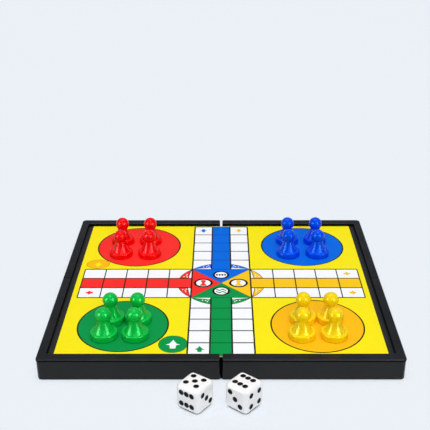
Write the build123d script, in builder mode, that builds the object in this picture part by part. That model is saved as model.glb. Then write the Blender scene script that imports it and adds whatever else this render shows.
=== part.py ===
from build123d import *
from math import cos, radians, sin, sqrt
import os

# Folding ludo board box, lying open on a table with its sixteen pawns and two dice.
# X runs across the fold, Y along it, Z up from the table.  The origin is on the table,
# in the middle of the space that the board and the two dice in front of it take up.

# ---- case -------------------------------------------------------------------------
board_width = 201.4  # both halves, open
board_depth = 182.0
tray_height = 13.0  # table to top of rim
corner_radius = 2.6  # free corners, seen from above
wall_draft = 1.0  # degrees, the mould's draft on the outer walls
wall = 2.2
deck = 1.6  # floor under the playing surface
side_rim = 5.1  # width of the rim on the free edge
end_rim = 6.7  # width of the rim at front and rear
side_ledge = 3.3  # level strip between the free rim and the printed sheet
rim_rise = 2.0  # rim top above the printed sheet
rim_gap = 1.6  # slot between the two halves' end walls
spine_gap = 0.3  # between the two halves' inner walls, along the fold
sheet_seam = 0.1  # between the two printed sheets, which meet over the inner walls
rim_edge_radius = 0.6
rim_lip_height = 1.3  # the rim stands out over the outer walls as a shallow lip
rim_lip = 0.25
foot_edge_radius = 0.8  # outer edge that rests on the table
fold_edge_radius = 1.0  # upright edges of the end walls, at the slot
recess_corner_radius = 0.8
hollow_corner_radius = 1.5
rim_notch_width = 0.9  # thumb notch across each free rim
rim_notch_depth = 1.8
rim_notch_y = 3.0

# ---- playing surface --------------------------------------------------------------
plate_thickness = 0.4  # steel sheet that the pawns' magnets hold to
sheet_thickness = 0.3  # printed card
sheet_play = 0.1  # all round, in the recess

# ---- hinge: two loose links, each on one pin in either half -----------------------
pin_spread = 2.4  # from the fold line to each row of pins
folded_gap = 0.1  # left between the halves when they are folded together
pin_diameter = 1.6
pin_running_play = 0.05  # radial, in the links
pin_seat_play = 0.02  # radial, in the trays
pin_end_play = 0.3
link_width = 12.0
link_side_play = 0.15
link_edge_play = 0.15  # around the link's round ends
link_thickness = 4.4
ear_width = 3.0
block_wall = 0.8  # behind the link's pocket
hinge_y = 52.0  # from the middle of the board to each link

# ---- closure magnets --------------------------------------------------------------
closure_magnet_diameter = 5.0
closure_magnet_thickness = 2.0
closure_magnet_play = 0.05
closure_magnet_sink = 0.1  # below the edge that rests on the table
closure_boss_diameter = 8.0
closure_boss_inset = 5.6  # from the outer walls to the boss's middle

# ---- pawns ------------------------------------------------------------------------
pawn_base_diameter = 15.5
pawn_flange_height = 3.9
pawn_foot_bevel = 0.4
pawn_flange_radius = 0.8
pawn_shoulder = 0.9  # flat shelf between the flange's edge and the skirt
pawn_neck_diameter = 6.2
pawn_skirt_hollow = 0.25  # how far the skirt bows in from a straight cone
pawn_head_diameter = 8.9
pawn_head_height = 13.9  # middle of the head above the foot
pawn_magnet_diameter = 9.0
pawn_magnet_thickness = 2.0
pawn_magnet_play = 0.05
pawn_magnet_sink = 0.2

# ---- dice -------------------------------------------------------------------------
die_size = 14.8
die_edge_radius = 2.55
pip_diameter = 3.0
pip_depth = 0.35
pip_wall_angle = 45.0  # degrees, so that each pip is dished
pip_pitch = 3.3
die_distance = 112.8  # from the middle of the board to the middle of the dice
die_left_x = -13.5
die_right_x = 11.9
die_left_turn = 54.5  # degrees about Z
die_right_turn = 50.0

# Where each pawn stands, from the middle of the board.
pawn_places = {
    "red": [(-68.1, 58.2), (-48.9, 58.2), (-67.4, 38.3), (-48.3, 38.3)],
    "green": [(-64.3, -46.7), (-48.5, -46.7), (-66.5, -63.8), (-48.9, -63.8)],
    "blue": [(45.8, 58.8), (65.0, 58.8), (45.2, 39.0), (64.8, 39.0)],
    "yellow": [(47.8, -46.2), (63.8, -46.2), (46.0, -63.9), (64.3, -63.9)],
}

# How many pips each face of a die carries, from the top round to the bottom.
die_faces = {
    "die_left": {
        "top": "five", "-x": "six", "-y": "three", "+x": "one", "+y": "four", "bottom": "two",
    },
    "die_right": {
        "top": "six", "-x": "three", "-y": "four", "+x": "five", "+y": "two", "bottom": "one",
    },
}

# ---- worked out -------------------------------------------------------------------
sheet_top = tray_height - rim_rise
deck_top = sheet_top - sheet_thickness - plate_thickness
deck_underside = deck_top - deck
pin_height = pin_spread - folded_gap / 2
fold_corner_radius = pin_height  # tray corners roll round their own pins
recess_x = board_width / 2 - side_rim
recess_y = board_depth / 2 - end_rim
sheet_x = recess_x - side_ledge
spine_x = spine_gap / 2 + wall  # inner face of the wall along the fold
lip_bottom = tray_height - rim_lip_height
draft_inset = rim_lip + lip_bottom * sin(radians(wall_draft))  # of the outer walls at the table
hollow_x = board_width / 2 - draft_inset - wall
hollow_y = board_depth / 2 - draft_inset - wall
pocket_x = pin_spread + link_thickness / 2 + link_edge_play
pocket_top = pin_height + link_thickness / 2 + link_edge_play
pocket_width = link_width + 2 * link_side_play
block_x = pocket_x + block_wall
block_width = pocket_width + 2 * ear_width

# The dice stand furthest forward, so they set where the board lies along Y.
die_turned_reach = [
    (die_size / 2 - die_edge_radius) * (cos(radians(turn)) + sin(radians(turn))) + die_edge_radius
    for turn in (die_left_turn, die_right_turn)
]
board_y = (die_distance + max(die_turned_reach) - board_depth / 2) / 2


def level(height):
    """Level plane over the middle of the board."""
    return Plane((0, board_y, height))


def upright(x, y, height):
    """Plane that faces the front, with its origin at a place on the board."""
    return Plane((x, board_y + y, height), x_dir=(1, 0, 0), z_dir=(0, -1, 0))


def block(x_range, y_range, bottom, top, mode=Mode.ADD):
    """Square block between two places on the board."""
    width, length = x_range[1] - x_range[0], y_range[1] - y_range[0]
    with BuildSketch(level(bottom)) as outline:
        with Locations((sum(x_range) / 2, sum(y_range) / 2)):
            Rectangle(width, length)
    extrude(outline.sketch, amount=top - bottom, mode=mode)


# ---- trays ------------------------------------------------------------------------
with BuildPart() as right_tray:
    # Rim with its lip, and under it the walls, narrower at the table by the mould's draft.
    with BuildSketch(level(lip_bottom)):
        RectangleRounded(board_width, board_depth, corner_radius)
    extrude(amount=rim_lip_height)
    with BuildSketch(level(lip_bottom)):
        RectangleRounded(board_width - 2 * rim_lip, board_depth - 2 * rim_lip, corner_radius - rim_lip)
    extrude(amount=-lip_bottom, taper=wall_draft)
    fillet(right_tray.faces().sort_by(Axis.Z)[0].edges(), foot_edge_radius)

    # The right half of it, with the upright edges at the slot rounded.
    with BuildSketch(level(0)) as half:
        with Locations(((board_width + rim_gap) / 4, 0)):
            Rectangle((board_width - rim_gap) / 2, board_depth)
        fillet(half.vertices().group_by(Axis.X)[0], fold_edge_radius)
    extrude(amount=tray_height, mode=Mode.INTERSECT)

    # Recess inside the rim, level with the printed sheet, and the sheet's own bed.
    with BuildSketch(level(tray_height)):
        RectangleRounded(2 * recess_x, 2 * recess_y, recess_corner_radius)
    extrude(amount=-rim_rise, mode=Mode.SUBTRACT)
    fillet(right_tray.faces().filter_by(Axis.Z).sort_by(Axis.Z)[-1].edges(), rim_edge_radius)
    with BuildSketch(level(sheet_top)):
        RectangleRounded(2 * sheet_x, 2 * recess_y, recess_corner_radius)
    extrude(amount=deck_top - sheet_top, mode=Mode.SUBTRACT)

    # Hollow underneath, where the pawns and dice are kept.
    with BuildSketch(level(0)):
        RectangleRounded(2 * hollow_x, 2 * hollow_y, hollow_corner_radius)
    extrude(amount=deck_underside, mode=Mode.SUBTRACT)
    block((spine_gap / 2, spine_x), (-recess_y, recess_y), 0, deck_top)
    block((rim_gap / 2, spine_x), (-hollow_y, hollow_y), 0, deck_underside)

    # Blocks that carry the hinge pins, and bosses for the closure magnets.
    for y in (-hinge_y, hinge_y):
        block((spine_gap / 2, block_x), (y - block_width / 2, y + block_width / 2), 0, deck_underside)
    with BuildSketch(level(0)):
        with Locations((board_width / 2 - closure_boss_inset, 0)):
            with GridLocations(0, board_depth - 2 * closure_boss_inset, 1, 2):
                Circle(closure_boss_diameter / 2)
    extrude(amount=deck_underside)
    with BuildSketch(level(0)):
        with Locations((board_width / 2 - closure_boss_inset, 0)):
            with GridLocations(0, board_depth - 2 * closure_boss_inset, 1, 2):
                Circle(closure_magnet_diameter / 2 + closure_magnet_play)
    extrude(amount=closure_magnet_sink + closure_magnet_thickness, mode=Mode.SUBTRACT)

    # Lower corner along the fold, rolled round the pins so that the halves can turn.
    with BuildSketch(upright(0, 0, 0)):
        with Locations((pin_spread / 2, pin_height / 2)):
            Rectangle(pin_spread, pin_height)
        with Locations((pin_spread, pin_height)):
            Circle(fold_corner_radius, mode=Mode.SUBTRACT)
    extrude(amount=board_depth / 2, both=True, mode=Mode.SUBTRACT)

    # Pockets for the links, and the pins' seats in the ears on either side.
    for y in (-hinge_y, hinge_y):
        block((0, pocket_x), (y - pocket_width / 2, y + pocket_width / 2), 0, pocket_top, Mode.SUBTRACT)
        with BuildSketch(upright(pin_spread, y, pin_height)):
            Circle(pin_diameter / 2 + pin_seat_play)
        extrude(amount=block_width / 2, both=True, mode=Mode.SUBTRACT)

    # Thumb notch across the free rim.
    notch = (rim_notch_y - rim_notch_width / 2, rim_notch_y + rim_notch_width / 2)
    block((recess_x, board_width / 2), notch, tray_height - rim_notch_depth, tray_height, Mode.SUBTRACT)

with BuildPart() as left_tray:
    mirror(right_tray.part, about=Plane.YZ)

trays = {"left": left_tray, "right": right_tray}
sides = {"left": -1, "right": 1}


# ---- playing surface --------------------------------------------------------------
def half_panel(side, seam, bottom, thickness):
    """One half of the flat sheets that lie in the trays' recesses."""
    inner, outer = seam / 2, sheet_x - sheet_play
    with BuildPart() as panel:
        with BuildSketch(level(bottom)):
            RectangleRounded(2 * outer, 2 * (recess_y - sheet_play), recess_corner_radius)
            with Locations((side * (inner - outer), 0)):
                Rectangle(2 * outer, board_depth, mode=Mode.SUBTRACT)
        extrude(amount=thickness)
    return panel


plates = {
    name: half_panel(side, spine_gap, deck_top, plate_thickness) for name, side in sides.items()
}
sheets = {
    name: half_panel(side, sheet_seam, deck_top + plate_thickness, sheet_thickness)
    for name, side in sides.items()
}


# ---- hinge ------------------------------------------------------------------------
def hinge_link(y):
    """Bar with round ends, bored for one pin in each half."""
    with BuildPart() as link:
        with BuildSketch(upright(0, y, pin_height)):
            SlotCenterToCenter(2 * pin_spread, link_thickness)
            with GridLocations(2 * pin_spread, 0, 2, 1):
                Circle(pin_diameter / 2 + pin_running_play, mode=Mode.SUBTRACT)
        extrude(amount=link_width / 2, both=True)
    return link


def hinge_pins(side):
    """The two pins in one half's row."""
    with BuildPart() as pins:
        for y in (-hinge_y, hinge_y):
            with BuildSketch(upright(side * pin_spread, y, pin_height)):
                Circle(pin_diameter / 2)
            extrude(amount=block_width / 2 - pin_end_play, both=True)
    return pins


def closure_magnets(side):
    """Two round magnets under one half's free corners."""
    with BuildPart() as magnets:
        with BuildSketch(level(closure_magnet_sink)):
            with Locations((side * (board_width / 2 - closure_boss_inset), 0)):
                with GridLocations(0, board_depth - 2 * closure_boss_inset, 1, 2):
                    Circle(closure_magnet_diameter / 2)
        extrude(amount=closure_magnet_thickness)
    return magnets


# ---- pawns ------------------------------------------------------------------------
def pawn(x, y):
    """Turned pawn: beveled foot, round-edged flange, waisted skirt and ball head."""
    foot, head = pawn_base_diameter / 2, pawn_head_diameter / 2
    neck = pawn_neck_diameter / 2
    neck_height = pawn_head_height - sqrt(head**2 - neck**2)
    skirt_foot = foot - pawn_flange_radius - pawn_shoulder
    with BuildPart() as piece:
        with BuildSketch(upright(x, y, sheet_top)):
            with BuildLine():
                Line((0, 0), (foot - pawn_foot_bevel, 0))
                Line((foot - pawn_foot_bevel, 0), (foot, pawn_foot_bevel))
                Line((foot, pawn_foot_bevel), (foot, pawn_flange_height - pawn_flange_radius))
                RadiusArc(
                    (foot, pawn_flange_height - pawn_flange_radius),
                    (foot - pawn_flange_radius, pawn_flange_height),
                    -pawn_flange_radius,
                )
                Line((foot - pawn_flange_radius, pawn_flange_height), (skirt_foot, pawn_flange_height))
                SagittaArc(
                    (skirt_foot, pawn_flange_height), (neck, neck_height), pawn_skirt_hollow
                )
                ThreePointArc(
                    (neck, neck_height),
                    (head, pawn_head_height),
                    (0, pawn_head_height + head),
                )
                Line((0, pawn_head_height + head), (0, 0))
            make_face()
        revolve(axis=Axis((x, board_y + y, 0), (0, 0, 1)))
        with BuildSketch(Plane((x, board_y + y, sheet_top))):
            Circle(pawn_magnet_diameter / 2 + pawn_magnet_play)
        extrude(amount=pawn_magnet_sink + pawn_magnet_thickness, mode=Mode.SUBTRACT)
    return piece


def pawn_magnet(x, y):
    """Round magnet in the foot of the pawn."""
    with BuildPart() as magnet:
        with BuildSketch(Plane((x, board_y + y, sheet_top + pawn_magnet_sink))):
            Circle(pawn_magnet_diameter / 2)
        extrude(amount=pawn_magnet_thickness)
    return magnet


# ---- dice -------------------------------------------------------------------------
pip_spots = {
    "one": [(0, 0)],
    "two": [(-1, 1), (1, -1)],
    "three": [(-1, 1), (0, 0), (1, -1)],
    "four": [(-1, 1), (1, 1), (-1, -1), (1, -1)],
    "five": [(-1, 1), (1, 1), (0, 0), (-1, -1), (1, -1)],
    "six": [(-1, 1), (0, 1), (1, 1), (-1, -1), (0, -1), (1, -1)],
}
# Outward direction of each face, and the direction that runs to its right.
face_directions = {
    "top": ((0, 0, 1), (0, -1, 0)),
    "bottom": ((0, 0, -1), (0, -1, 0)),
    "-x": ((-1, 0, 0), (0, -1, 0)),
    "+x": ((1, 0, 0), (0, 1, 0)),
    "-y": ((0, -1, 0), (1, 0, 0)),
    "+y": ((0, 1, 0), (-1, 0, 0)),
}


def die(x, turn, faces):
    """Round-edged cube on the table, with a shallow dished pip for each count."""
    half = die_size / 2
    stand = Plane(
        (x, board_y - die_distance, half),
        x_dir=(cos(radians(turn)), sin(radians(turn)), 0),
        z_dir=(0, 0, 1),
    )
    with BuildPart(stand) as cube:
        Box(die_size, die_size, die_size)
        fillet(cube.edges(), die_edge_radius)
        for face, count in faces.items():
            outward, rightward = (
                stand.from_local_coords(direction) - stand.origin for direction in face_directions[face]
            )
            with BuildSketch(Plane(stand.origin + outward * half, x_dir=rightward, z_dir=outward)):
                with Locations(*[(pip_pitch * across, pip_pitch * up) for across, up in pip_spots[count]]):
                    Circle(pip_diameter / 2)
            extrude(amount=-pip_depth, taper=pip_wall_angle, mode=Mode.SUBTRACT)
    return cube


# ---- every piece in its own file --------------------------------------------------
pieces = {
    "hinge_link_front": hinge_link(-hinge_y),
    "hinge_link_rear": hinge_link(hinge_y),
    "die_left": die(die_left_x, die_left_turn, die_faces["die_left"]),
    "die_right": die(die_right_x, die_right_turn, die_faces["die_right"]),
}
for name, side in sides.items():
    pieces[f"{name}_tray"] = trays[name]
    pieces[f"{name}_steel_plate"] = plates[name]
    pieces[f"{name}_print_sheet"] = sheets[name]
    pieces[f"{name}_hinge_pins"] = hinge_pins(side)
    pieces[f"{name}_closure_magnets"] = closure_magnets(side)
for colour, places in pawn_places.items():
    for number, (x, y) in enumerate(places, start=1):
        pieces[f"{colour}_pawn_{number}"] = pawn(x, y)
        pieces[f"{colour}_pawn_{number}_magnet"] = pawn_magnet(x, y)

os.makedirs("parts", exist_ok=True)
for name, piece in pieces.items():
    piece.part.label = name
    export_step(piece.part, f"parts/{name}.step")
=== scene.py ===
import math

import bmesh
import bpy
from mathutils import Matrix, Vector
from mathutils.geometry import delaunay_2d_cdt


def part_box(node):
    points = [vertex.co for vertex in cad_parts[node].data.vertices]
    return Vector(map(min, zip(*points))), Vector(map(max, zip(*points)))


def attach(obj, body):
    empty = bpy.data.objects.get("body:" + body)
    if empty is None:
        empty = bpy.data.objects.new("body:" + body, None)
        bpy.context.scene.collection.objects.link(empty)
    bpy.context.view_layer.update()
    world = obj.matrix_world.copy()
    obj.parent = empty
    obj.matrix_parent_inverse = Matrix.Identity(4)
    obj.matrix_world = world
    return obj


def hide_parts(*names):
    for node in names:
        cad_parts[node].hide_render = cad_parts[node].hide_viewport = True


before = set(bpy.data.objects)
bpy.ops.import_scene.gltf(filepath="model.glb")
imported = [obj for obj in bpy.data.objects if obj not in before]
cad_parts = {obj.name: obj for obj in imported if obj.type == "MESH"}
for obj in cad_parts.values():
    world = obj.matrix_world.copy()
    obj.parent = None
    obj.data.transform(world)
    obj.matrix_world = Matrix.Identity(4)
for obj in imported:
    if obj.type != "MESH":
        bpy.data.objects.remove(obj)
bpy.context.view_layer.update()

# Dressing of the folding ludo board.  Lengths are in metres.  The print, the pawns' profile and
# the dice are written in millimetres, and MM brings them to metres.
MM = 0.001


# ---- places taken from the frame ----------------------------------------------------
def node_box(node):
    """Lowest and highest corner of a CAD node, as vectors."""
    low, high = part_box(node)
    return Vector(low), Vector(high)


sheet_low, sheet_high = node_box("left_print_sheet")
tray_low, tray_high = node_box("left_tray")
BOARD_Y = (tray_low.y + tray_high.y) / 2
SHEET_TOP = sheet_high.z
SHEET_BOTTOM = sheet_low.z
SHEET_X = -sheet_low.x           # outer edge of the printed sheet, from the fold
SHEET_SEAM = 0.000003            # its edge beside the fold, where the two sheets all but meet
SHEET_Y = (sheet_high.y - sheet_low.y) / 2
RIM_TOP = tray_high.z


# ---- colours ------------------------------------------------------------------------
def srgb(red, green, blue):
    """Linear colour from the 0 to 255 values seen on screen."""
    def channel(value):
        """Linear value of one channel."""
        value /= 255
        return value / 12.92 if value <= 0.04045 else ((value + 0.055) / 1.055) ** 2.4
    return (channel(red), channel(green), channel(blue), 1.0)


INK = {
    "yellow": srgb(252, 233, 22),
    "white": srgb(250, 250, 250),
    "red": srgb(250, 50, 45),
    "blue": srgb(2, 106, 222),
    "green": srgb(6, 150, 73),
    "amber": srgb(253, 200, 28),
    "orange": srgb(255, 190, 20),
    "dark_line": srgb(34, 31, 18),
    "grey_line": srgb(54, 54, 50),
    "blue_line": srgb(0, 74, 170),
    "green_line": srgb(0, 112, 50),
    "seam_line": srgb(70, 90, 20),
    "pale_edge": srgb(205, 204, 130),
    "orange_edge": srgb(190, 140, 10),
    "green_edge": srgb(60, 120, 20),
    "red_edge": srgb(120, 24, 24),
    "amber_edge": srgb(128, 92, 10),
    "ring_dark": srgb(30, 12, 14),
    "ring_navy": srgb(8, 18, 46),
}
PAWN_COLOURS = {
    "red": srgb(248, 0, 3),
    "blue": srgb(0, 74, 232),
    "green": srgb(0, 188, 68),
    "yellow": srgb(255, 214, 4),
}
# The dye tints a pawn's highlights too.
PAWN_HIGHLIGHTS = {
    "red": srgb(255, 130, 130),
    "blue": srgb(70, 155, 255),
    "green": srgb(120, 255, 160),
    "yellow": srgb(255, 240, 120),
}


# ---- shared effects: groups that give only masks, values, colours or normals --------
def new_group(name, inputs, outputs):
    """Empty node group with float inputs (name, default) and outputs (name, socket type)."""
    group = bpy.data.node_groups.new(name, "ShaderNodeTree")
    for label, default in inputs:
        socket = group.interface.new_socket(label, in_out="INPUT", socket_type="NodeSocketFloat")
        socket.default_value = default
    for label, kind in outputs:
        group.interface.new_socket(label, in_out="OUTPUT", socket_type=kind)
    return group, group.nodes.new("NodeGroupInput"), group.nodes.new("NodeGroupOutput")


def node(tree, kind, **settings):
    """New node with its properties set by name and its input sockets by socket name."""
    made = tree.nodes.new(kind)
    for key, value in settings.items():
        if key == "sockets":
            for label, setting in value.items():
                made.inputs[label].default_value = setting
        else:
            setattr(made, key, value)
    return made


def object_noise(tree, scale, detail=2.0, roughness=0.5):
    """Noise in Object coordinates, in features per metre."""
    where = node(tree, "ShaderNodeTexCoord")
    noise = node(
        tree,
        "ShaderNodeTexNoise",
        sockets={"Scale": scale, "Detail": detail, "Roughness": roughness},
    )
    tree.links.new(where.outputs["Object"], noise.inputs["Vector"])
    return noise


def grain_group():
    """Fine surface grain, as a normal."""
    group, given, result = new_group(
        "surface_grain",
        [("Scale", 2600.0), ("Strength", 0.1), ("Depth", 0.00002)],
        [("Normal", "NodeSocketVector")],
    )
    noise = object_noise(group, 2600.0, detail=3.0, roughness=0.6)
    bump = node(group, "ShaderNodeBump")
    group.links.new(given.outputs["Scale"], noise.inputs["Scale"])
    group.links.new(given.outputs["Strength"], bump.inputs["Strength"])
    group.links.new(given.outputs["Depth"], bump.inputs["Distance"])
    group.links.new(noise.outputs["Fac"], bump.inputs["Height"])
    group.links.new(bump.outputs["Normal"], result.inputs["Normal"])
    return group


def edge_group():
    """Mask of the outer edges, from how far a rounded normal leans away: wear, and on the case
    also a painted highlight.
    """
    group, given, result = new_group(
        "edge_wear_and_highlight", [("Radius", 0.0006), ("Amount", 0.5)], [("Mask", "NodeSocketFloat")]
    )
    round_normal = node(group, "ShaderNodeBevel", samples=6)
    flat_normal = node(group, "ShaderNodeNewGeometry")
    lean = node(group, "ShaderNodeVectorMath", operation="DOT_PRODUCT")
    ramp = node(group, "ShaderNodeMapRange", sockets={"From Min": 0.995, "From Max": 0.86})
    breakup = object_noise(group, 900.0, detail=4.0, roughness=0.7)
    worn_and_lit = node(group, "ShaderNodeMath", operation="MULTIPLY")
    scaled = node(group, "ShaderNodeMath", operation="MULTIPLY")
    group.links.new(given.outputs["Radius"], round_normal.inputs["Radius"])
    group.links.new(round_normal.outputs["Normal"], lean.inputs[0])
    group.links.new(flat_normal.outputs["Normal"], lean.inputs[1])
    group.links.new(lean.outputs["Value"], ramp.inputs["Value"])
    group.links.new(ramp.outputs["Result"], worn_and_lit.inputs[0])
    group.links.new(breakup.outputs["Fac"], worn_and_lit.inputs[1])
    group.links.new(worn_and_lit.outputs["Value"], scaled.inputs[0])
    group.links.new(given.outputs["Amount"], scaled.inputs[1])
    group.links.new(scaled.outputs["Value"], result.inputs["Mask"])
    return group


def dust_group():
    """Mask of fine dust and handling marks on what faces up."""
    group, given, result = new_group(
        "dust", [("Scale", 60.0), ("Amount", 0.3)], [("Mask", "NodeSocketFloat")]
    )
    cloud = object_noise(group, 60.0, detail=5.0, roughness=0.65)
    ramp = node(group, "ShaderNodeMapRange", sockets={"From Min": 0.42, "From Max": 0.78})
    facing = node(group, "ShaderNodeNewGeometry")
    upward = node(group, "ShaderNodeSeparateXYZ")
    lift = node(group, "ShaderNodeMapRange", sockets={"From Min": 0.2, "From Max": 0.9})
    joined = node(group, "ShaderNodeMath", operation="MULTIPLY")
    scaled = node(group, "ShaderNodeMath", operation="MULTIPLY")
    group.links.new(given.outputs["Scale"], cloud.inputs["Scale"])
    group.links.new(cloud.outputs["Fac"], ramp.inputs["Value"])
    group.links.new(facing.outputs["Normal"], upward.inputs["Vector"])
    group.links.new(upward.outputs["Z"], lift.inputs["Value"])
    group.links.new(ramp.outputs["Result"], joined.inputs[0])
    group.links.new(lift.outputs["Result"], joined.inputs[1])
    group.links.new(joined.outputs["Value"], scaled.inputs[0])
    group.links.new(given.outputs["Amount"], scaled.inputs[1])
    group.links.new(scaled.outputs["Value"], result.inputs["Mask"])
    return group


def corner_group():
    """Mask of inner corners, where little light reaches: it places painted shade."""
    group, given, result = new_group(
        "corner_shade", [("Reach", 0.001)], [("Mask", "NodeSocketFloat")]
    )
    reached = node(group, "ShaderNodeAmbientOcclusion", samples=8)
    ramp = node(group, "ShaderNodeMapRange", sockets={"From Min": 0.95, "From Max": 0.62})
    group.links.new(given.outputs["Reach"], reached.inputs["Distance"])
    group.links.new(reached.outputs["AO"], ramp.inputs["Value"])
    group.links.new(ramp.outputs["Result"], result.inputs["Mask"])
    return group


GRAIN, EDGE_WEAR_AND_HIGHLIGHT, DUST = grain_group(), edge_group(), dust_group()
CORNER_SHADE = corner_group()


def use_group(tree, group, **sockets):
    """Instance of a shared group, with its inputs set."""
    used = node(tree, "ShaderNodeGroup", node_tree=group)
    for label, setting in sockets.items():
        used.inputs[label].default_value = setting
    return used


def mixed_colour(tree, mask, below, above):
    """Colour that goes from below to above with a mask; each may be a socket or a colour."""
    mix = node(tree, "ShaderNodeMix", data_type="RGBA")
    tree.links.new(mask, mix.inputs["Factor"])
    for side, colour in (("A", below), ("B", above)):
        socket = next(s for s in mix.inputs if s.name == side and s.type == "RGBA")
        if isinstance(colour, bpy.types.NodeSocket):
            tree.links.new(colour, socket)
        else:
            socket.default_value = colour
    return next(s for s in mix.outputs if s.type == "RGBA")


def mapped(tree, value, low, high):
    """Value from 0 to 1 spread between two numbers."""
    spread = node(tree, "ShaderNodeMapRange", sockets={"To Min": low, "To Max": high})
    tree.links.new(value, spread.inputs["Value"])
    return spread.outputs["Result"]


def shaded(colour, factor):
    """Colour made darker or lighter."""
    return tuple(min(1.0, channel * factor) for channel in colour[:3]) + (1.0,)


def empty_material(name, **sockets):
    """Material with a Principled shader whose uniform values are set on its own sockets."""
    material = bpy.data.materials.new(name)
    material.use_nodes = True
    tree = material.node_tree
    shader = tree.nodes["Principled BSDF"]
    for label, setting in sockets.items():
        shader.inputs[label.replace("_", " ")].default_value = setting
    return material, tree, shader


# ---- materials ----------------------------------------------------------------------
# Dust; and the rubbed edges' colour, which on the case is also a painted highlight along the rim.
DUST_COLOUR, RUBBED_AND_HIGHLIGHT_COLOUR = srgb(112, 113, 116), srgb(112, 114, 119)
# Colour and reach of the painted shade in inner corners.
PAINTED_SHADE_COLOUR, CORNER_REACH = srgb(1, 1, 2), 0.0012


def case_material(name, dark, light, specular, rough, wear):
    """Black moulded plastic: fine spark-eroded grain, dust, rubbed edges that are partly worn and
    partly a painted highlight, and painted shade in inner corners.
    """
    material, tree, shader = empty_material(name, Specular_IOR_Level=specular)
    cloud = object_noise(tree, 38.0, detail=3.0)
    plain = mixed_colour(tree, cloud.outputs["Fac"], dark, light)
    dust = use_group(tree, DUST, Scale=75.0, Amount=0.05)
    dusty = mixed_colour(tree, dust.outputs["Mask"], plain, DUST_COLOUR)
    # Rubbed edges, lighter: wear, and partly a painted highlight.
    edges = use_group(tree, EDGE_WEAR_AND_HIGHLIGHT, Radius=0.0005, Amount=wear)
    worn_and_lit = mixed_colour(tree, edges.outputs["Mask"], dusty, RUBBED_AND_HIGHLIGHT_COLOUR)
    # Painted shade: inner corners turn near black, and duller.
    corners = use_group(tree, CORNER_SHADE, Reach=CORNER_REACH)
    shaded_corners = mixed_colour(tree, corners.outputs["Mask"], worn_and_lit, PAINTED_SHADE_COLOUR)
    tree.links.new(shaded_corners, shader.inputs["Base Color"])
    duller = node(tree, "ShaderNodeMath", operation="MAXIMUM")
    tree.links.new(mapped(tree, cloud.outputs["Fac"], *rough), duller.inputs[0])
    tree.links.new(mapped(tree, corners.outputs["Mask"], 0.0, 0.95), duller.inputs[1])
    tree.links.new(duller.outputs["Value"], shader.inputs["Roughness"])
    grain = use_group(tree, GRAIN, Scale=3200.0, Strength=0.35, Depth=0.00003)
    tree.links.new(grain.outputs["Normal"], shader.inputs["Normal"])
    return material


def ink_material(name, colour):
    """Printed ink under a satin varnish, with a trace of the card's tooth."""
    material, tree, shader = empty_material("ink_" + name, Specular_IOR_Level=0.06)
    mottle = object_noise(tree, 320.0, detail=4.0, roughness=0.65)
    tone = mixed_colour(tree, mottle.outputs["Fac"], shaded(colour, 0.955), shaded(colour, 1.035))
    drift = object_noise(tree, 16.0, detail=1.0)
    fading = mapped(tree, drift.outputs["Fac"], 0.0, 0.05)
    aged = mixed_colour(tree, fading, tone, shaded(colour, 0.75))
    tree.links.new(aged, shader.inputs["Base Color"])
    tree.links.new(mapped(tree, mottle.outputs["Fac"], 0.40, 0.52), shader.inputs["Roughness"])
    tooth = use_group(tree, GRAIN, Scale=5200.0, Strength=0.10, Depth=0.00001)
    tree.links.new(tooth.outputs["Normal"], shader.inputs["Normal"])
    return material


def gloss_material(name, colour, specular, sheen_tint):
    """Polished injection-moulded plastic: slight mottling, finger marks in the gloss."""
    material, tree, shader = empty_material(
        name, Specular_IOR_Level=specular, Specular_Tint=sheen_tint
    )
    flow = object_noise(tree, 140.0, detail=2.0)
    tone = mixed_colour(tree, flow.outputs["Fac"], shaded(colour, 0.94), shaded(colour, 1.05))
    edges = use_group(tree, EDGE_WEAR_AND_HIGHLIGHT, Radius=0.0004, Amount=0.06)
    rubbed = mixed_colour(tree, edges.outputs["Mask"], tone, shaded(colour, 1.35))
    tree.links.new(rubbed, shader.inputs["Base Color"])
    smears = object_noise(tree, 260.0, detail=4.0, roughness=0.7)
    tree.links.new(mapped(tree, smears.outputs["Fac"], 0.19, 0.27), shader.inputs["Roughness"])
    ripple = use_group(tree, GRAIN, Scale=500.0, Strength=0.04, Depth=0.00003)
    tree.links.new(ripple.outputs["Normal"], shader.inputs["Normal"])
    return material


def paint_material(name, colour):
    """Flat paint wiped into a moulded recess."""
    material, tree, shader = empty_material(name, Specular_IOR_Level=0.12)
    speckle = object_noise(tree, 1500.0, detail=3.0)
    tone = mixed_colour(tree, speckle.outputs["Fac"], shaded(colour, 0.7), shaded(colour, 1.6))
    tree.links.new(tone, shader.inputs["Base Color"])
    tree.links.new(mapped(tree, speckle.outputs["Fac"], 0.25, 0.45), shader.inputs["Roughness"])
    return material


def metal_material(name, colour, rough_low, rough_high, stretch=1.0):
    """Bare metal, with scratches drawn out along Y by stretch."""
    material, tree, shader = empty_material(name, Metallic=1.0)
    where = node(tree, "ShaderNodeTexCoord")
    squeeze = node(tree, "ShaderNodeMapping")
    squeeze.inputs["Scale"].default_value = (1.0, 1.0 / stretch, 1.0)
    noise = node(tree, "ShaderNodeTexNoise", sockets={"Scale": 1800.0, "Detail": 4.0})
    tree.links.new(where.outputs["Object"], squeeze.inputs["Vector"])
    tree.links.new(squeeze.outputs["Vector"], noise.inputs["Vector"])
    tone = mixed_colour(tree, noise.outputs["Fac"], shaded(colour, 0.8), shaded(colour, 1.1))
    tree.links.new(tone, shader.inputs["Base Color"])
    polish = mapped(tree, noise.outputs["Fac"], rough_low, rough_high)
    tree.links.new(polish, shader.inputs["Roughness"])
    return material


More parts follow.
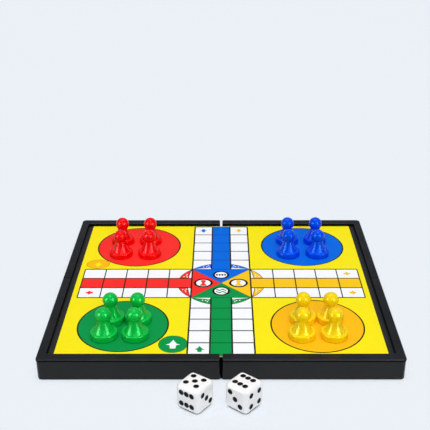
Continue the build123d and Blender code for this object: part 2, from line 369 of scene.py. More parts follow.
CASE = case_material(
    "case_plastic", srgb(16, 16, 17), srgb(22, 22, 24), specular=0.25, rough=(0.29, 0.40), wear=0.6
)
# Dark matt copy of the case for inner walls, the slot and the lip: its dark colour is painted
# shade.
CASE_DULL_SHADED = case_material(
    "case_dull_painted_shade", srgb(6, 6, 7), srgb(9, 9, 10), specular=0.04, rough=(0.75, 0.85), wear=0.1
)
CASE_SATIN = case_material(
    "case_satin", srgb(22, 24, 24), srgb(29, 31, 31), specular=0.30, rough=(0.42, 0.52), wear=0.3
)
INKS = {name: ink_material(name, colour) for name, colour in INK.items()}
CARD_CORE = ink_material("card_core", srgb(226, 224, 214))
PAWN_PLASTIC = {
    name: gloss_material("pawn_" + name, colour, 0.45, PAWN_HIGHLIGHTS[name])
    for name, colour in PAWN_COLOURS.items()
}
DIE_PLASTIC = gloss_material("die_white", srgb(249, 245, 241), 0.2, srgb(255, 255, 255))
PIP_PAINT = paint_material("pip_black", srgb(5, 5, 6))
PLATE_STEEL = metal_material("plate_steel", srgb(190, 191, 194), 0.28, 0.45, stretch=24.0)
PIN_STEEL = metal_material("pin_steel", srgb(200, 201, 205), 0.18, 0.32, stretch=12.0)
MAGNET_NICKEL = metal_material("magnet_nickel", srgb(205, 201, 190), 0.10, 0.22)


def dress(kind, material):
    """Give every CAD node with a word in its name one finished material."""
    for name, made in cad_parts.items():
        if kind in name:
            made.data.materials.clear()
            made.data.materials.append(material)


# ---- meshes -------------------------------------------------------------------------
def mesh_object(name, bm, materials, body):
    """Object at the origin from a bmesh, with materials, riding on a body."""
    bmesh.ops.recalc_face_normals(bm, faces=bm.faces)
    mesh = bpy.data.meshes.new(name)
    bm.to_mesh(mesh)
    bm.free()
    for material in materials:
        mesh.materials.append(material)
    made = bpy.data.objects.new(name, mesh)
    bpy.context.scene.collection.objects.link(made)
    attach(made, body)
    return made


# ---- printed board ------------------------------------------------------------------
# The print is laid out in millimetres from the middle of the board.
CROSS_X = 6.25                   # half the width of one column of the front and rear arms
CROSS_Y = (17.7, 5.3, -7.1, -19.5)   # lines of the left and right arms, rear to front
ARM_REAR, ARM_FRONT = 83.0, -83.4
ARM_SIDE = 88.7
ARM_CELLS = 5
FIRST_SIDE_CELL = 14.75          # the side arms' cell beside the middle square
CENTRE_Y = (CROSS_Y[0] + CROSS_Y[-1]) / 2
BOLD, THIN, ROW = 0.95, 0.7, 1.0     # widths of printed lines
SEAM_LINE = 0.3                  # between the triangles of the middle square
HOME_LINE = 0.9                  # round each home
# Ink, middle and outer half width and half depth of each home.
HOMES = (
    ("red", (-56.3, 51.5), (28.5, 29.8)),
    ("blue", (55.7, 51.8), (28.3, 29.4)),
    ("green", (-57.0, -51.9), (26.7, 28.2)),
    ("orange", (56.0, -51.9), (27.4, 29.1)),
)
# Inks of edge, disc and arrow, middle, half width and half depth, width of the edge, and width
# and length of the arrow on each start disc.
ORANGE_START = (("orange_edge", "orange", "yellow"), (-81.3, 25.0), (7.6, 6.4), 0.4, (6.4, 6.6))
GREEN_START = (("green_edge", "green", "white"), (-27.0, -72.0), (8.3, 8.9), 0.35, (8.4, 8.8))
# Ink, middle, width and length, and quarter turns from +Y of each start arrow on the arms.
START_ARROWS = (
    ("blue", (-12.6, 76.4), (5.4, 5.6), 2),
    ("amber", (12.6, 76.4), (5.4, 5.6), 2),
    ("green", (-12.0, -77.0), (5.9, 6.0), 0),
    ("red", (-82.2, -13.3), (5.4, 4.8), 1),
    ("amber", (82.2, -13.3), (5.4, 4.8), 3),
    ("amber", (81.6, 11.6), (5.4, 4.8), 3),
)
MEDALLION_RING = 1.4             # width of the ring round each medallion
# Ink, ink of the edge, reach from the middle square and quarter turns from the rear arm.
FANS = (
    ("blue", "blue_line", 7.4, 0),
    ("red", "red_edge", 8.2, 1),
    ("green", "green_line", 8.4, 2),
    ("amber", "amber_edge", 8.2, 3),
)
FAN_EDGE = 0.5
FAN_BULGE = 2.3                  # how far the inner arc stands off the square beside the lane
FAN_TIP = 5                      # times the trim that a fan loses at its thin end
FAN_STEPS = 14
# Places of the dots on a fan: across the arm, and out from the square.
FAN_DOTS = ((9.4, 3.6), (7.9, 3.0), (8.4, 5.2), (11.4, 3.3))
FAN_DOT_RADIUS, FAN_DOT_STEPS = 0.5, 12
SHEET_CORNER = 0.7               # radius of the sheet's outer corners
ROUND_STEPS = 96                 # round a whole disc
QUARTER_STEPS = 6                # round a quarter of a small corner
SAME_POINT = 1e-4                # points of the print nearer than this are one
FILL_INSIDE = 1                  # the fill keeps the triangles that lie inside an outline


def rectangle(x0, y0, x1, y1):
    """Outline between two opposite corners."""
    return [(x0, y0), (x1, y0), (x1, y1), (x0, y1)]


def disc(x, y, radius, radius_y=None, steps=ROUND_STEPS):
    """Outline of a circle, or of an ellipse where radius_y is given."""
    turns = [2 * math.pi * step / steps for step in range(steps)]
    radius_y = radius_y or radius
    return [(x + radius * math.cos(turn), y + radius_y * math.sin(turn)) for turn in turns]


def stroke(start, end, width):
    """Straight line of a given width, as a rectangle round it."""
    start, end = Vector(start), Vector(end)
    along = (end - start).normalized()
    aside = Vector((-along.y, along.x)) * width / 2
    return [tuple(corner) for corner in (start - aside, end - aside, end + aside, start + aside)]


def turned(points, x, y, quarter_turns):
    """Points drawn pointing to +Y, turned by quarter turns and moved to a place."""
    turn = Matrix.Rotation(quarter_turns * math.pi / 2, 2)
    return [tuple(turn @ Vector(point) + Vector((x, y))) for point in points]


def anticlockwise(points):
    """The same outline, run so that its inside lies on the left."""
    area = sum(x0 * y1 - x1 * y0 for (x0, y0), (x1, y1) in zip(points, points[1:] + points[:1]))
    return points if area > 0 else points[::-1]


def snapped(points):
    """The same outline with its points on a thousandth of a millimetre and none repeated."""
    return list(dict.fromkeys((round(x, 3), round(y, 3)) for x, y in points))


def rounded_half(side):
    """Outline of one printed sheet: round outer corners, square beside the fold."""
    radius = SHEET_CORNER
    outline = []
    for x, y, first in (
        (SHEET_X / MM - radius, -SHEET_Y / MM + radius, -90),
        (SHEET_X / MM - radius, SHEET_Y / MM - radius, 0),
    ):
        for step in range(QUARTER_STEPS + 1):
            turn = math.radians(first + 90 * step / QUARTER_STEPS)
            outline.append((x + radius * math.cos(turn), y + radius * math.sin(turn)))
    outline += [(SHEET_SEAM / MM, SHEET_Y / MM), (SHEET_SEAM / MM, -SHEET_Y / MM)]
    return [(side * x, y) for x, y in outline]


def arrow(width, length):
    """Start arrow that points to +Y: a wide head that runs into a short stem."""
    half, shaft = width / 2, width / 4.6
    head, wing, stem = length / 2, -length * 0.06, -length / 2
    return [(half, wing), (shaft * 1.15, wing + 0.9), (0, head), (-shaft * 1.15, wing + 0.9),
            (-half, wing), (-shaft, wing - 0.5), (-shaft * 0.85, stem), (shaft * 0.85, stem),
            (shaft, wing - 0.5)]


def pawn_figure():
    """Little pawn in outline, standing along +Y."""
    skirt = [(-2.1, -3.7), (2.1, -3.7), (1.9, -2.4), (1.0, -0.9), (0.75, 1.0),
             (-0.75, 1.0), (-1.0, -0.9), (-1.9, -2.4)]
    return [skirt, disc(0, 2.2, 1.65, steps=24)]


def diamond_row():
    """Row of small diamonds along X."""
    count, pitch = 4, 1.75
    places = [(place - (count - 1) / 2) * pitch for place in range(count)]
    return [[(x, -1.5), (x + 0.84, 0), (x, 1.5), (x - 0.84, 0)] for x in places]


def wave_bands():
    """Two low waves, one over the other."""
    bands = []
    for shift in (-1.45, 1.45):
        crest = [(x / 4, shift + 0.75 * math.sin(x * math.pi / 8)) for x in range(-13, 14)]
        bands.append([(x, y - 0.65) for x, y in crest] + [(x, y + 0.65) for x, y in crest[::-1]])
    return bands


def fan(side_x, outward, base, reach, trim):
    """Crescent that stands on the middle square's edge, over one column of an arm.

    Drawn for the rear arm: side_x is -1 or 1 for the column, outward is the square's edge from
    the middle, base the half width of the square, reach how far the outer arc stands off the
    edge beside the lane and trim what is taken off all round."""
    far = outward + reach
    outer_middle = (far**2 + CROSS_X**2 - outward**2 - base**2) / (2 * (far - outward))
    outer_radius = math.hypot(base, outward - outer_middle) - trim
    inner_radius = (base**2 + FAN_BULGE**2) / (2 * FAN_BULGE)
    inner_middle = outward + FAN_BULGE - inner_radius
    inner_radius += trim
    near, width = CROSS_X + trim, base - CROSS_X - FAN_TIP * trim
    columns = [near + width * step / FAN_STEPS for step in range(FAN_STEPS + 1)]
    outer = [(side_x * x, outer_middle + math.sqrt(outer_radius**2 - x**2)) for x in columns]
    inner = [(side_x * x, inner_middle + math.sqrt(inner_radius**2 - x**2)) for x in columns]
    return outer + inner[-2::-1]     # the two arcs share their last point


# Ring ink, mark ink, mark, middle, and half width and half depth of each medallion.
MEDALLIONS = (
    ("ring_dark", "red", pawn_figure(), (-11.3, -0.9), (6.0, 5.6)),
    ("ring_dark", "amber", pawn_figure(), (11.0, -0.9), (6.0, 5.6)),
    ("ring_navy", "ring_navy", diamond_row(), (-0.1, 10.0), (5.3, 5.3)),
    ("ring_dark", "green", wave_bands(), (0.0, -11.3), (5.6, 5.7)),
)


def board_print():
    """Every printed shape as (ink, outline), the later ones over the earlier."""
    x1, x3 = CROSS_X, 3 * CROSS_X
    rear, front = CROSS_Y[0], CROSS_Y[-1]
    shapes = []

    def paint(ink, *outlines):
        """Lay outlines in one ink over all that is there."""
        shapes.extend((ink, outline) for outline in outlines)

    def paint_start(inks, place, halves, edge, arrow_size):
        """Start disc with a darker edge and an arrow towards the rear."""
        paint(inks[0], disc(*place, *halves))
        paint(inks[1], disc(*place, *(half - edge for half in halves)))
        paint(inks[2], turned(arrow(*arrow_size), *place, 0))

    # Home circles and the start discs.
    paint_start(*ORANGE_START)
    for ink, (x, y), (half_x, half_y) in HOMES:
        paint("dark_line", disc(x, y, half_x, half_y))
        paint(ink, disc(x, y, half_x - HOME_LINE, half_y - HOME_LINE))
    paint_start(*GREEN_START)

    # White arms and their coloured lanes.
    paint("pale_edge", rectangle(-x3, ARM_REAR, x3, SHEET_Y / MM))
    paint("white", rectangle(-x3, ARM_FRONT, x3, ARM_REAR))
    paint("white", rectangle(-ARM_SIDE, front, ARM_SIDE, rear))
    paint("blue", rectangle(-x1, rear, x1, ARM_REAR))
    paint("green", rectangle(-x1, ARM_FRONT, x1, front))
    paint("red", rectangle(-ARM_SIDE, CROSS_Y[2], -x3, CROSS_Y[1]))
    paint("amber", rectangle(x3, CROSS_Y[2], ARM_SIDE, CROSS_Y[1]))

    # Fans round the middle square, each with a darker edge and small white dots.
    half_y = (rear - front) / 2
    for ink, edge, reach, quarter in FANS:
        outward, base = (x3, half_y) if quarter % 2 else (half_y, x3)
        for column in (-1, 1):
            for tone, trim in ((edge, 0.0), (ink, FAN_EDGE)):
                paint(tone, turned(fan(column, outward, base, reach, trim), 0, CENTRE_Y, quarter))
            for across, along in FAN_DOTS:
                dot = disc(column * across, outward + along, FAN_DOT_RADIUS, steps=FAN_DOT_STEPS)
                paint("white", turned(dot, 0, CENTRE_Y, quarter))

    # Middle square: four triangles that meet in its centre.
    centre = (0, CENTRE_Y)
    paint("blue", [(-x3, rear), (x3, rear), centre])
    paint("green", [(-x3, front), (x3, front), centre])
    paint("red", [(-x3, rear), (-x3, front), centre])
    paint("amber", [(x3, rear), (x3, front), centre])
    for corner in ((-x3, rear), (x3, rear), (-x3, front), (x3, front)):
        paint("seam_line", stroke(corner, centre, SEAM_LINE))

    # Cell lines.
    later_cell = (ARM_SIDE - x3 - FIRST_SIDE_CELL) / (ARM_CELLS - 1)
    for step in range(1, ARM_CELLS + 1):
        y_rear = rear + (ARM_REAR - rear) * step / ARM_CELLS
        y_front = front + (ARM_FRONT - front) * step / ARM_CELLS
        x_side = x3 + FIRST_SIDE_CELL + later_cell * (step - 1)
        for inner, outer in ((-x3, -x1), (x1, x3)):
            paint("grey_line", stroke((inner, y_rear), (outer, y_rear), ROW))
            paint("grey_line", stroke((inner, y_front), (outer, y_front), ROW))
        paint("blue_line", stroke((-x1, y_rear), (x1, y_rear), THIN))
        paint("green_line", stroke((-x1, y_front), (x1, y_front), ROW))
        for side in (-1, 1):
            paint("dark_line", stroke((side * x_side, front), (side * x_side, rear), THIN))
    for y in CROSS_Y:
        paint("dark_line", stroke((-ARM_SIDE, y), (-x3, y), ROW))
        paint("dark_line", stroke((x3, y), (ARM_SIDE, y), ROW))
    for x in (-x3, x3):
        paint("dark_line", stroke((x, ARM_FRONT), (x, ARM_REAR), BOLD))
    for x in (-x1, x1):
        paint("dark_line", stroke((x, rear), (x, ARM_REAR), BOLD))
        paint("dark_line", stroke((x, ARM_FRONT), (x, front), BOLD))
    paint("blue_line", stroke((-x3, rear), (x3, rear), THIN))
    paint("green_line", stroke((-x3, front), (x3, front), THIN))

    # Medallions in the middle, with plain marks.
    for ring, ink, mark, (x, y), (half_x, half_y) in MEDALLIONS:
        paint(ring, disc(x, y, half_x, half_y))
        paint("white", disc(x, y, half_x - MEDALLION_RING, half_y - MEDALLION_RING))
        paint(ink, *[[(x + px, y + py) for px, py in outline] for outline in mark])

    for ink, place, arrow_size, quarter in START_ARROWS:
        paint(ink, turned(arrow(*arrow_size), *place, quarter))
    return shapes


def print_sheet(name, side, body, replaced):
    """One half of the printed sheet: flat coloured regions on top, white core below."""
    shapes = [("yellow", rounded_half(side))] + board_print()
    inks = sorted({ink for ink, _ in shapes})
    points, faces = [], []
    for _, shape in shapes:
        outline = snapped(anticlockwise(shape))
        faces.append(list(range(len(points), len(points) + len(outline))))
        points.extend(Vector(point) for point in outline)
    corners, _, triangles, _, _, sources = delaunay_2d_cdt(
        points, [], faces, FILL_INSIDE, SAME_POINT
    )
    bm = bmesh.new()
    top = [bm.verts.new((p.x * MM, p.y * MM + BOARD_Y, SHEET_TOP)) for p in corners]
    for triangle, source in zip(triangles, sources):
        if 0 in source:              # within shape 0, the sheet itself
            face = bm.faces.new([top[index] for index in triangle])
            face.material_index = inks.index(shapes[max(source)][0])
    bmesh.ops.delete(bm, geom=[v for v in bm.verts if not v.link_faces], context="VERTS")
    # The card's core is seen on the edge and from below.
    core = len(inks)
    rim = [edge for edge in bm.edges if len(edge.link_faces) == 1]
    skirt = bmesh.ops.extrude_edge_only(bm, edges=rim)["geom"]
    bmesh.ops.translate(
        bm,
        verts=[part for part in skirt if isinstance(part, bmesh.types.BMVert)],
        vec=(0, 0, SHEET_BOTTOM - SHEET_TOP),
    )
    for face in skirt:
        if isinstance(face, bmesh.types.BMFace):
            face.material_index = core
    lower = [edge for edge in bm.edges if len(edge.link_faces) == 1]
    for face in bmesh.ops.contextual_create(bm, geom=lower)["faces"]:
        face.material_index = core
    made = mesh_object(name, bm, [INKS[ink] for ink in inks] + [CARD_CORE], body)
    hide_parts(replaced)


print_sheet("printed_half_left", -1, "left_half", "left_print_sheet")
print_sheet("printed_half_right", 1, "right_half", "right_print_sheet")


# ---- pawns --------------------------------------------------------------------------
# Sizes of a pawn, from the foot up, and of the magnet's pocket in its foot, in millimetres.
PAWN_FOOT, PAWN_BEVEL = 7.75, 0.4
FLANGE_TOP, FLANGE_RADIUS, SHOULDER = 3.9, 0.8, 0.9
NECK_RADIUS, HEAD_RADIUS, HEAD_MIDDLE = 3.1, 4.45, 13.9
SKIRT_HOLLOW = 0.25              # how far the skirt bows in at half its height
POCKET_RADIUS, POCKET_TOP = 4.55, 2.2
PAWN_SEGMENTS, SKIRT_STEPS, HEAD_STEPS = 72, 24, 30
PAWN_CREASE = math.radians(32)   # edges that turn more than this stay sharp


def pawn_profile():
    """Radius and height of each ring, from the magnet's pocket round to the crown."""
    rings = [(0.0, POCKET_TOP), (POCKET_RADIUS, POCKET_TOP), (POCKET_RADIUS, 0.0)]
    rings += [(PAWN_FOOT - PAWN_BEVEL, 0.0), (PAWN_FOOT, PAWN_BEVEL)]
    for step in range(QUARTER_STEPS + 1):
        turn = math.radians(90 * step / QUARTER_STEPS)
        rings.append((
            PAWN_FOOT - FLANGE_RADIUS + FLANGE_RADIUS * math.cos(turn),
            FLANGE_TOP - FLANGE_RADIUS + FLANGE_RADIUS * math.sin(turn),
        ))
    # The skirt is a cone that bows in a little.
    neck_height = HEAD_MIDDLE - math.sqrt(HEAD_RADIUS**2 - NECK_RADIUS**2)
    foot = Vector((PAWN_FOOT - FLANGE_RADIUS - SHOULDER, FLANGE_TOP))
    neck = Vector((NECK_RADIUS, neck_height))
    chord = neck - foot
    inward = Vector((-chord.y, chord.x)).normalized()
    for step in range(SKIRT_STEPS + 1):
        t = step / SKIRT_STEPS
        rings.append(tuple(foot + chord * t + inward * SKIRT_HOLLOW * 4 * t * (1 - t)))
    first = math.atan2(neck_height - HEAD_MIDDLE, NECK_RADIUS)
    for step in range(1, HEAD_STEPS + 1):
        turn = first + (math.pi / 2 - first) * step / HEAD_STEPS
        rings.append((HEAD_RADIUS * math.cos(turn), HEAD_MIDDLE + HEAD_RADIUS * math.sin(turn)))
    return rings


def turned_pawn(name, place, material, body):
    """Smooth turned pawn on the sheet, round the upright line through its place."""
    bm = bmesh.new()
    loops = []
    for radius, height in pawn_profile():
        if radius < 1e-6:            # a ring on the axis closes in one point
            loops.append([bm.verts.new((place.x, place.y, SHEET_TOP + height * MM))])
            continue
        loops.append([
            bm.verts.new((
                place.x + radius * MM * math.cos(2 * math.pi * step / PAWN_SEGMENTS),
                place.y + radius * MM * math.sin(2 * math.pi * step / PAWN_SEGMENTS),
                SHEET_TOP + height * MM,
            ))
            for step in range(PAWN_SEGMENTS)
        ])
    for below, above in zip(loops, loops[1:]):
        for step in range(PAWN_SEGMENTS):
            after = (step + 1) % PAWN_SEGMENTS
            # A ring of one point gives the same corner twice, and the face is a triangle.
            corners = [below[step % len(below)], below[after % len(below)],
                       above[after % len(above)], above[step % len(above)]]
            bm.faces.new(list(dict.fromkeys(corners)))
    for face in bm.faces:
        face.smooth = True
    made = mesh_object(name, bm, [material], body)
    made.data.set_sharp_from_angle(angle=PAWN_CREASE)
    return made


PAWNS_PER_COLOUR = 4
for colour, plastic in PAWN_PLASTIC.items():
    for number in range(1, PAWNS_PER_COLOUR + 1):
        cad_pawn = f"{colour}_pawn_{number}"
        low, high = node_box(cad_pawn)
        figure = turned_pawn(f"turned_{cad_pawn}", (low + high) / 2, plastic, cad_pawn + "_body")
        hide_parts(cad_pawn)


# ---- dice ---------------------------------------------------------------------------
# Sizes are in millimetres.
DIE_SIZE, DIE_ROUND, DIE_ROUND_STEPS = 14.8, 2.55, 10
DIE_CREASE = math.radians(22)    # edges that turn more than this stay sharp
PIP_PITCH, PIP_RADIUS, PIP_DEPTH = 3.3, 1.56, 0.45
DISH_PROUD, DISH_RINGS, DISH_STEPS = 0.1, 8, 48   # the lid's height, and the mesh of a dish
# Places of the pips on a face, in pitches right and up from its middle.
PIP_SPOTS = {
    1: [(0, 0)],
    2: [(-1, 1), (1, -1)],
    3: [(-1, 1), (0, 0), (1, -1)],
    4: [(-1, 1), (1, 1), (-1, -1), (1, -1)],
    5: [(-1, 1), (1, 1), (0, 0), (-1, -1), (1, -1)],
    6: [(-1, 1), (0, 1), (1, 1), (-1, -1), (0, -1), (1, -1)],
}
# Outward direction of each face of a die, and the direction that runs to its right.
DIE_SIDES = {
    "top": ((0, 0, 1), (0, -1, 0)),
    "bottom": ((0, 0, -1), (0, -1, 0)),
    "-x": ((-1, 0, 0), (0, -1, 0)),
    "+x": ((1, 0, 0), (0, 1, 0)),
    "-y": ((0, -1, 0), (1, 0, 0)),
    "+y": ((0, 1, 0), (-1, 0, 0)),
}
# Turn of each die about the upright, in degrees, and the number on each face.
DICE = {
    "die_left": (54.5, {"top": 5, "-x": 6, "-y": 3, "+x": 1, "+y": 4, "bottom": 2}),
    "die_right": (50.0, {"top": 6, "-x": 3, "-y": 4, "+x": 5, "+y": 2, "bottom": 1}),
}


def add_dish(bm, stance, outward, middle):
    """Add a shallow ball cap that dips into a face; its flat lid stands just off the face."""
    ball_radius = (PIP_RADIUS**2 + PIP_DEPTH**2) / (2 * PIP_DEPTH)
    upward = outward.to_track_quat("Z", "Y").to_matrix()
    widest = math.acos((ball_radius - PIP_DEPTH - DISH_PROUD) / ball_radius)
    rings = []
    for ring in range(1, DISH_RINGS + 1):
        lean = widest * ring / DISH_RINGS
        radius = ball_radius * math.sin(lean)
        height = ball_radius * (1 - math.cos(lean)) - PIP_DEPTH
        rings.append([
            bm.verts.new(stance @ ((middle + upward @ Vector((x, y, height))) * MM))
            for x, y in disc(0, 0, radius, steps=DISH_STEPS)
        ])
    lowest = bm.verts.new(stance @ ((middle - outward * PIP_DEPTH) * MM))
    bm.faces.new(rings[-1])
    for step in range(DISH_STEPS):
        after = (step + 1) % DISH_STEPS
        bm.faces.new((lowest, rings[0][step], rings[0][after]))
        for below, above in zip(rings, rings[1:]):
            bm.faces.new((below[step], below[after], above[after], above[step]))


def rolled_die(name, turn, faces, place, body):
    """White die with round edges and painted pips sunk into its faces."""
    cube = bmesh.new()
    bmesh.ops.create_cube(cube, size=DIE_SIZE * MM)
    bmesh.ops.bevel(
        cube, geom=cube.edges[:] + cube.verts[:], offset=DIE_ROUND * MM, segments=DIE_ROUND_STEPS,
        profile=0.5, affect="EDGES", clamp_overlap=True,
    )
    stance = Matrix.Translation(place) @ Matrix.Rotation(math.radians(turn), 4, "Z")
    bmesh.ops.transform(cube, matrix=stance, verts=cube.verts)
    for face in cube.faces:
        face.smooth = True
    die = mesh_object(name, cube, [DIE_PLASTIC, PIP_PAINT], body)

    dishes = bmesh.new()
    for side, pips in faces.items():
        outward, right = (Vector(direction) for direction in DIE_SIDES[side])
        up = outward.cross(right)
        for across, along in PIP_SPOTS[pips]:
            middle = outward * DIE_SIZE / 2 + (right * across + up * along) * PIP_PITCH
            add_dish(dishes, stance, outward, middle)
    for face in dishes.faces:
        face.material_index = 1
        face.smooth = True
    cutter = mesh_object(name + "_cutter", dishes, [DIE_PLASTIC, PIP_PAINT], body)
    cut = die.modifiers.new("pips", "BOOLEAN")
    cut.operation, cut.solver, cut.object = "DIFFERENCE", "EXACT", cutter
    cut.material_mode = "TRANSFER"
    dependencies = bpy.context.evaluated_depsgraph_get()
    carved = bpy.data.meshes.new_from_object(die.evaluated_get(dependencies))
    die.modifiers.clear()
    die.data = carved
    carved.set_sharp_from_angle(angle=DIE_CREASE)
    bpy.data.objects.remove(cutter)
    return die


for cad_die, (turn, faces) in DICE.items():
    low, high = node_box(cad_die)
    rolled = rolled_die(f"rolled_{cad_die}", turn, faces, (low + high) / 2, cad_die + "_body")
    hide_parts(cad_die)


# ---- finish of the CAD pieces that stay in view -------------------------------------
LEDGE_WIDTH = 0.0041             # from the sheet's outer edge to just past the free rim's wall
FILLET_REACH = 0.0008            # from the sheet's end to just past the round edge of the end rim
SLOT_REACH = 0.0012              # from the fold to just past the faces of the slot
LIP_HEIGHT = 0.00135             # of the strip under the rim's top that stands proud
CLOSE = 0.0001                   # heights nearer than this count as the same
# Upright share of a face's normal, below which it counts as a wall, and above which as level.
WALL_IN_RECESS, WALL_AT_LIP, WALL_AT_SLOT, LEVEL = 0.75, 0.5, 0.3, 0.9
GLOSS, DULL_SHADED, SATIN = range(3)


def finish_tray(name):
    """Gloss outside; inner walls, slot and lip in the dark matt copy, whose dark colour is painted
    shade; lighter satin strip beside the sheet.
    """
    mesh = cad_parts[name].data
    mesh.materials.clear()
    for material in (CASE, CASE_DULL_SHADED, CASE_SATIN):
        mesh.materials.append(material)
    for face in mesh.polygons:
        x, y, z = abs(face.center.x), abs(face.center.y - BOARD_Y), face.center.z
        upright = abs(face.normal.z)
        within = (
            x < SHEET_X + LEDGE_WIDTH and y < SHEET_Y + FILLET_REACH and z > SHEET_TOP - CLOSE
        )
        # Walls in the recess, the strip under the rim's top and the slot's faces take painted
        # shade.
        if (
            (upright < WALL_IN_RECESS and within)
            or (upright < WALL_AT_LIP and z > RIM_TOP - LIP_HEIGHT)
            or (upright < WALL_AT_SLOT and x < SLOT_REACH)
        ):
            face.material_index = DULL_SHADED
        elif within and face.normal.z > LEVEL and z < SHEET_TOP + CLOSE:
            face.material_index = SATIN
        else:
            face.material_index = GLOSS


for tray in ("left_tray", "right_tray"):
    finish_tray(tray)
dress("hinge_link", CASE)
dress("plate", PLATE_STEEL)
dress("pins", PIN_STEEL)
dress("magnet", MAGNET_NICKEL)


# ---- floor, light and camera --------------------------------------------------------
TABLE_DROP = 0.00002             # of the table top below the object's foot
TABLE_CLEAR = 0.97               # how clear the table top is in the open
CONTACT_CLEAR = 0.25             # and right beside a wall
CONTACT = 0.009                  # reach of the shade that the walls and dice leave on it
STANDING = 0.05                  # how far above it the table top feels what stands on it
BACKDROP_DROP = 0.085            # below the table top, clear of the half that folds under
FLOOR_REACH, WALL_HEIGHT, WALL_SEGMENTS = 6.0, 1.2, 96
PALE_TONES = srgb(234, 240, 246), srgb(236, 242, 248)
# Painted shade on the table deep in the slot between the halves.
SLOT_FOOT_SHADE_COLOUR = srgb(10, 10, 11)


def stage_mesh(name, bm, material):
    """Piece of the stage, which isn't part of the object, from a bmesh."""
    mesh = bpy.data.meshes.new(name)
    bm.to_mesh(mesh)
    bm.free()
    mesh.materials.append(material)
    made = bpy.data.objects.new(name, mesh)
    bpy.context.scene.collection.objects.link(made)


def staged_plane(name, material, height):
    """Level plane, wide enough that nothing else is seen round it."""
    bm = bmesh.new()
    bmesh.ops.create_grid(bm, x_segments=1, y_segments=1, size=FLOOR_REACH)
    bmesh.ops.translate(bm, verts=bm.verts, vec=(0, 0, height))
    stage_mesh(name, bm, material)


def staged_wall(name, material, low, high):
    """Low round wall at the end of the floor, facing in, so that level views stay pale."""
    bm = bmesh.new()
    bmesh.ops.create_cone(
        bm, cap_ends=False, segments=WALL_SEGMENTS,
        radius1=FLOOR_REACH, radius2=FLOOR_REACH, depth=high - low,
    )
    bmesh.ops.translate(bm, verts=bm.verts, vec=(0, 0, (low + high) / 2))
    bmesh.ops.reverse_faces(bm, faces=bm.faces)
    stage_mesh(name, bm, material)


def pale_tone(tree):
    """Pale blue-grey of the table, with the faintest drift."""
    cloud = object_noise(tree, 1.5, detail=1.0)
    return mixed_colour(tree, cloud.outputs["Fac"], *PALE_TONES)


def blend(tree, share, below, above):
    """Shader that goes from below to above with a share."""
    mix = node(tree, "ShaderNodeMixShader")
    tree.links.new(share, mix.inputs["Fac"])
    tree.links.new(below, mix.inputs[1])
    tree.links.new(above, mix.inputs[2])
    return mix.outputs["Shader"]


def plain_light(tree, tone):
    """Emission at a strength of 1, so that a tone shows as it is."""
    plain = node(tree, "ShaderNodeEmission")
    tree.links.new(tone, plain.inputs["Color"])
    return plain.outputs["Emission"]


def backdrop_material():
    """Pale sheet below: plain where it is seen or mirrored, clear from underneath."""
    material, tree, shader = empty_material("pale_sheet", Roughness=0.9, Specular_IOR_Level=0.1)
    tone = pale_tone(tree)
    tree.links.new(tone, shader.inputs["Base Color"])
    ray = node(tree, "ShaderNodeLightPath")
    seen = ray.outputs["Is Camera Ray"]
    for kind in ("Is Glossy Ray", "Is Transmission Ray"):
        either = node(tree, "ShaderNodeMath", operation="MAXIMUM")
        tree.links.new(seen, either.inputs[0])
        tree.links.new(ray.outputs[kind], either.inputs[1])
        seen = either.outputs["Value"]
    upper = blend(tree, seen, shader.outputs["BSDF"], plain_light(tree, tone))
    clear = node(tree, "ShaderNodeBsdfTransparent")
    facing = node(tree, "ShaderNodeNewGeometry")
    surface = blend(tree, facing.outputs["Backfacing"], upper, clear.outputs["BSDF"])
    tree.links.new(surface, tree.nodes["Material Output"].inputs["Surface"])
    return material


def table_material():
    """Clear table top that shows the shade beside the board and the dice, and nothing else.

    The half that folds under the other is seen through it.  From underneath it is plain,
    apart from where something stands on it, so that the trays' hollows can be seen."""
    material, tree, shader = empty_material("table_shade", Roughness=0.9, Specular_IOR_Level=0.1)
    pale = pale_tone(tree)
    open_sky = node(tree, "ShaderNodeAmbientOcclusion", samples=16)
    open_sky.inputs["Distance"].default_value = CONTACT
    # Deep in the slot next to no light reaches the table, and its tone goes to a painted shade.
    reached = node(tree, "ShaderNodeMapRange", sockets={"From Min": 0.2, "From Max": 0.5})
    tree.links.new(open_sky.outputs["AO"], reached.inputs["Value"])
    tone = mixed_colour(tree, reached.outputs["Result"], SLOT_FOOT_SHADE_COLOUR, pale)
    tree.links.new(tone, shader.inputs["Base Color"])
    clear = node(tree, "ShaderNodeBsdfTransparent").outputs["BSDF"]
    clearness = node(tree, "ShaderNodeMath", operation="MULTIPLY")
    opened = mapped(tree, open_sky.outputs["AO"], CONTACT_CLEAR, TABLE_CLEAR)
    tree.links.new(opened, clearness.inputs[0])
    tree.links.new(reached.outputs["Result"], clearness.inputs[1])
    upper = blend(tree, clearness.outputs["Value"], shader.outputs["BSDF"], clear)
    above = node(tree, "ShaderNodeAmbientOcclusion", samples=16, inside=True)
    above.inputs["Distance"].default_value = STANDING
    bare = node(tree, "ShaderNodeMapRange", sockets={"From Min": 0.55, "From Max": 0.8})
    tree.links.new(above.outputs["AO"], bare.inputs["Value"])
    under = blend(tree, bare.outputs["Result"], clear, plain_light(tree, pale))
    facing = node(tree, "ShaderNodeNewGeometry")
    seen = blend(tree, facing.outputs["Backfacing"], upper, under)
    ray = node(tree, "ShaderNodeLightPath")
    surface = blend(tree, ray.outputs["Is Camera Ray"], clear, seen)
    tree.links.new(surface, tree.nodes["Material Output"].inputs["Surface"])
    return material


def lamp(name, place, target, size, power, gloss_only=False):
    """Rectangular softbox that looks at a point; gloss_only adds a reflection and no light."""
    light = bpy.data.lights.new(name, "AREA")
    light.shape, light.size, light.size_y = "RECTANGLE", size[0], size[1]
    light.energy = power
    made = bpy.data.objects.new(name, light)
    made.location = place
    made.rotation_euler = (Vector(target) - Vector(place)).to_track_quat("-Z", "Y").to_euler()
    made.visible_diffuse = not gloss_only
    bpy.context.scene.collection.objects.link(made)


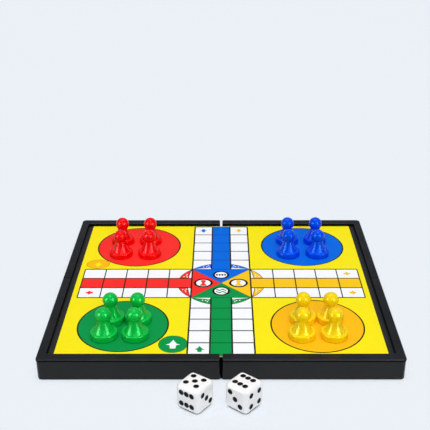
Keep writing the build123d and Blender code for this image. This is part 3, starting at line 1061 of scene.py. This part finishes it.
def sky(low, high, turn_low, turn_high):
    """World that brightens from the horizon up, between two heights of the view direction."""
    world = bpy.data.worlds.new("studio")
    world.use_nodes = True
    tree = world.node_tree
    tree.nodes.clear()
    output = node(tree, "ShaderNodeOutputWorld")
    light = node(tree, "ShaderNodeBackground")
    where = node(tree, "ShaderNodeTexCoord")
    parts = node(tree, "ShaderNodeSeparateXYZ")
    ramp = node(tree, "ShaderNodeMapRange", interpolation_type="SMOOTHSTEP",
                sockets={"From Min": turn_low, "From Max": turn_high})
    tree.links.new(where.outputs["Generated"], parts.inputs["Vector"])
    tree.links.new(parts.outputs["Z"], ramp.inputs["Value"])
    tree.links.new(mixed_colour(tree, ramp.outputs["Result"], low, high), light.inputs["Color"])
    tree.links.new(light.outputs["Background"], output.inputs["Surface"])
    bpy.context.scene.world = world


BOARD_MIDDLE, PAWN_HEADS = (0.0, 0.0, 0.0), (0.0, 0.0, 0.02)   # what the lamps look at
SIDE_BOX, SIDE_POWER = (0.44, 0.50), 11.0
pale_sheet = backdrop_material()
staged_plane("table_top", table_material(), -TABLE_DROP)
staged_plane("backdrop", pale_sheet, -BACKDROP_DROP)
staged_wall("backdrop_wall", pale_sheet, -BACKDROP_DROP, WALL_HEIGHT)
sky(low=(0.10, 0.125, 0.17, 1.0), high=(0.90, 0.91, 0.93, 1.0), turn_low=0.50, turn_high=0.88)
lamp("overhead_softbox", (0.0, 0.0, 2.4), BOARD_MIDDLE, (1.0, 0.7), power=19.0)
lamp("front_softbox", (0.3, -1.6, 1.15), BOARD_MIDDLE, (1.2, 0.8), power=13.0)
lamp("left_softbox", (-0.80, -0.42, 0.34), PAWN_HEADS, SIDE_BOX, SIDE_POWER, gloss_only=True)
lamp("right_softbox", (0.62, -0.62, 0.36), PAWN_HEADS, SIDE_BOX, SIDE_POWER, gloss_only=True)

# Camera: in front of the board and above it, looking down on it.
CAMERA_AWAY, CAMERA_ABOVE = 0.4868, 0.2642       # from the board's middle and from its rim
CAMERA_PLACE = (0.0004, BOARD_Y - CAMERA_AWAY, RIM_TOP + CAMERA_ABOVE)
CAMERA_DOWN, CAMERA_YAW, CAMERA_ROLL = 24.25, 0.05, -0.05        # in degrees
SENSOR_WIDTH = 36.0
FOCAL_PIXELS, FRAME_PIXELS = 870, 430
CAMERA_SHIFT = -0.01407
camera_data = bpy.data.cameras.new("main_camera")
camera_data.sensor_width = SENSOR_WIDTH
camera_data.lens = SENSOR_WIDTH * FOCAL_PIXELS / FRAME_PIXELS
camera_data.shift_x = CAMERA_SHIFT
camera = bpy.data.objects.new("main_camera", camera_data)
camera.location = CAMERA_PLACE
camera.rotation_euler = (
    Matrix.Rotation(math.radians(CAMERA_YAW), 3, "Z")
    @ Matrix.Rotation(math.radians(90 - CAMERA_DOWN), 3, "X")
    @ Matrix.Rotation(math.radians(CAMERA_ROLL), 3, "Z")
).to_euler()
bpy.context.scene.collection.objects.link(camera)
bpy.context.scene.camera = camera
bpy.context.scene.view_settings.view_transform = "Standard"
